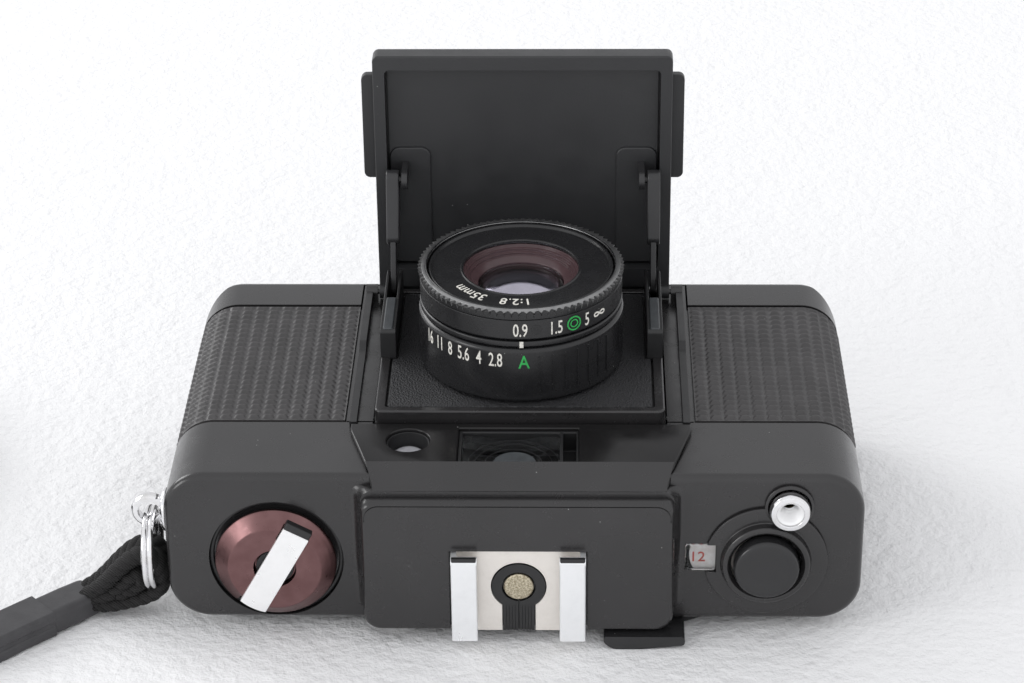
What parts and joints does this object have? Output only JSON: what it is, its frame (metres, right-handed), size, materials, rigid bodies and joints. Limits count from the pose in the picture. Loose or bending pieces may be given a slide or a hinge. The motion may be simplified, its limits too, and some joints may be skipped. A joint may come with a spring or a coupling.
{
  "type": "compact camera",
  "caption": "Compact film camera with a fold-up front door, lens board on struts, hot shoe, folding rewind crank, wind lever, hinged back and wrist strap.",
  "frame": {"origin": "foot of the lens axis on the flat of the back, which the camera rests on", "axes": "+Z along the lens axis out of the lens, -Y to the top of the camera, +X to the shutter button's side"},
  "size_m": [0.1805, 0.0832, 0.0724],
  "materials": {
    "body_black": "satin, fine moulded grain, lightly polished edges",
    "grip_leatherette": "leatherette pressed with small overlapping scales",
    "satin_black": "satin",
    "gloss_black": "gloss",
    "window_glass": "clear, polished",
    "shoe_nickel": "warm nickel, fine scratches",
    "brass": "dull, speckled with tarnish",
    "bright_chrome": "bright plated",
    "dial_white": "matt, printed",
    "maroon_anodised": "dark maroon anodised, turned",
    "steel": "brushed",
    "board_black": "satin",
    "board_leatherette": "pebbled leatherette",
    "lens_black": "black anodised",
    "baffle_brown": "dark brown, stepped",
    "coated_glass": "polished, purple coating",
    "door_black": "satin",
    "steel_black": "satin black, worn edges",
    "alloy": "cast, painted dark",
    "braid_cord": "plaited cord",
    "strap_leather": "smooth synthetic leather, folded edge"
  },
  "bodies": {
    "camera_body": {"front_casing": "body_black", "top_cover": "body_black", "base_cover": "body_black", "grip_left": "grip_leatherette", "grip_right": "grip_leatherette", "rail_left": "body_black", "rail_right": "body_black", "finder_bezel": "body_black", "finder_window": "window_glass", "meter_window": "window_glass", "finder_tunnel": "satin_black", "eyepiece_frame": "satin_black", "hot_shoe": "shoe_nickel", "shoe_insulator": "satin_black", "shoe_contact": "brass", "shutter_collar": "body_black", "cable_socket": "bright_chrome", "counter_window": "window_glass", "rewind_collar": "body_black", "film_chassis": "alloy", "back_door_pin": "steel", "tripod_bush": "bright_chrome", "battery_cells": "steel", "strap_lug": "bright_chrome", "split_ring": "bright_chrome", "strap_braid": "braid_cord", "strap_cap": "strap_leather", "strap_band": "strap_leather", "strap_loop": "strap_leather"},
    "front_door": {"front_door": "door_black", "door_liner": "door_black"},
    "strut_left": {"strut_left": "steel_black"},
    "strut_right": {"strut_right": "steel_black"},
    "lens_carriage": {"lens_board": "board_black", "lens_panel": "board_leatherette", "lens_barrel": "lens_black", "name_ring": "lens_black", "inner_baffle": "baffle_brown", "front_lens": "coated_glass", "shutter_unit": "satin_black", "rear_lens": "coated_glass"},
    "aperture_ring": {"aperture_ring": "lens_black"},
    "focus_ring": {"focus_ring": "lens_black"},
    "wind_lever": {"wind_lever": "body_black", "wind_gear": "brass"},
    "take_up_spool": {"take_up_spool": "satin_black", "spool_gear": "brass"},
    "sprocket": {"sprocket": "steel"},
    "counter_dial": {"counter_dial": "dial_white"},
    "shutter_button": {"shutter_button": "gloss_black"},
    "latch_bar": {"latch_bar": "steel"},
    "rewind_knob": {"rewind_knob": "maroon_anodised", "rewind_shaft": "steel"},
    "rewind_crank": {"rewind_crank": "bright_chrome"},
    "back_door": {"back_door": "body_black", "pressure_plate": "satin_black", "plate_spring": "steel"},
    "battery_cover": {"battery_cover": "steel"},
    "rewind_release": {"rewind_release": "steel"}
  },
  "joints": [
    {"name": "door_hinge", "type": "hinge", "parent": "camera_body", "child": "front_door", "pos_m": [0, 0.0237, 0.0298], "axis": [1, 0, 0], "range_deg": [0, 90]},
    {"name": "strut_left_hinge", "type": "hinge", "parent": "front_door", "child": "strut_left", "pos_m": [-0.0213, 0.0217, 0.0515], "axis": [1, 0, 0], "range_deg": [-21.5, 0]},
    {"name": "strut_right_hinge", "type": "hinge", "parent": "front_door", "child": "strut_right", "pos_m": [0.0213, 0.0217, 0.0515], "axis": [1, 0, 0], "range_deg": [-21.5, 0]},
    {"name": "carriage_slide", "type": "slide", "parent": "camera_body", "child": "lens_carriage", "axis": [0, 0, -1], "range_m": [0, 0.0172]},
    {"name": "aperture_turn", "type": "hinge", "parent": "lens_carriage", "child": "aperture_ring", "pos_m": [0, 0, 0.036], "axis": [0, 0, 1], "range_deg": [0, 56]},
    {"name": "focus_turn", "type": "hinge", "parent": "lens_carriage", "child": "focus_ring", "pos_m": [0, 0, 0.045], "axis": [0, 0, 1], "range_deg": [-47, 0]},
    {"name": "lever_swing", "type": "hinge", "parent": "camera_body", "child": "wind_lever", "pos_m": [0.0377, -0.0292, 0.0136], "axis": [0, -1, 0], "range_deg": [0, 125], "stiffness_Nm_per_rad": 0.004, "springref_deg": -22.92},
    {"name": "spool_turn", "type": "hinge", "parent": "camera_body", "child": "take_up_spool", "pos_m": [0.0402, 0, 0.0136], "axis": [0, -1, 0], "range_deg": [-250, 0]},
    {"name": "sprocket_turn", "type": "hinge", "parent": "camera_body", "child": "sprocket", "pos_m": [0.0269, 0, 0.0092], "axis": [0, -1, 0], "range_deg": [0, 360]},
    {"name": "counter_turn", "type": "hinge", "parent": "camera_body", "child": "counter_dial", "pos_m": [0.031, -0.0309, 0.0141], "axis": [0, -1, 0], "range_deg": [-10, 0]},
    {"name": "shutter_press", "type": "slide", "parent": "camera_body", "child": "shutter_button", "axis": [0, 1, 0], "range_m": [0, 0.0012], "stiffness_N_per_m": 400, "springref_m": -0.0008},
    {"name": "latch_pull", "type": "slide", "parent": "camera_body", "child": "latch_bar", "axis": [0, -1, 0], "range_m": [0, 0.005]},
    {"name": "knob_turn", "type": "hinge", "parent": "latch_bar", "child": "rewind_knob", "pos_m": [-0.0372, -0.033, 0.0134], "axis": [0, -1, 0], "continuous": true},
    {"name": "crank_fold", "type": "hinge", "parent": "rewind_knob", "child": "rewind_crank", "pos_m": [-0.03405, -0.0354, 0.01909], "axis": [-0.8746, 0, 0.4848], "range_deg": [0, 150]},
    {"name": "back_hinge", "type": "hinge", "parent": "camera_body", "child": "back_door", "pos_m": [0.0527, 0.004, 0.00775], "axis": [0, -1, 0], "range_deg": [0, 105]},
    {"name": "battery_turn", "type": "hinge", "parent": "camera_body", "child": "battery_cover", "pos_m": [0.0402, 0.029, 0.015], "axis": [0, 1, 0], "range_deg": [0, 90]},
    {"name": "release_press", "type": "slide", "parent": "camera_body", "child": "rewind_release", "axis": [0, -1, 0], "range_m": [0, 0.0015], "stiffness_N_per_m": 250, "springref_m": -0.001}
  ],
  "couplings": [
    {"joint": "door_hinge", "follows": "carriage_slide", "rad_per_m": 91.32},
    {"joint": "strut_left_hinge", "follows": "carriage_slide", "rad_per_m": -21.614},
    {"joint": "strut_right_hinge", "follows": "carriage_slide", "rad_per_m": -21.614},
    {"joint": "spool_turn", "follows": "lever_swing", "ratio": -1.2},
    {"joint": "sprocket_turn", "follows": "lever_swing", "ratio": 1.44},
    {"joint": "counter_turn", "follows": "lever_swing", "ratio": -0.072}
  ]
}
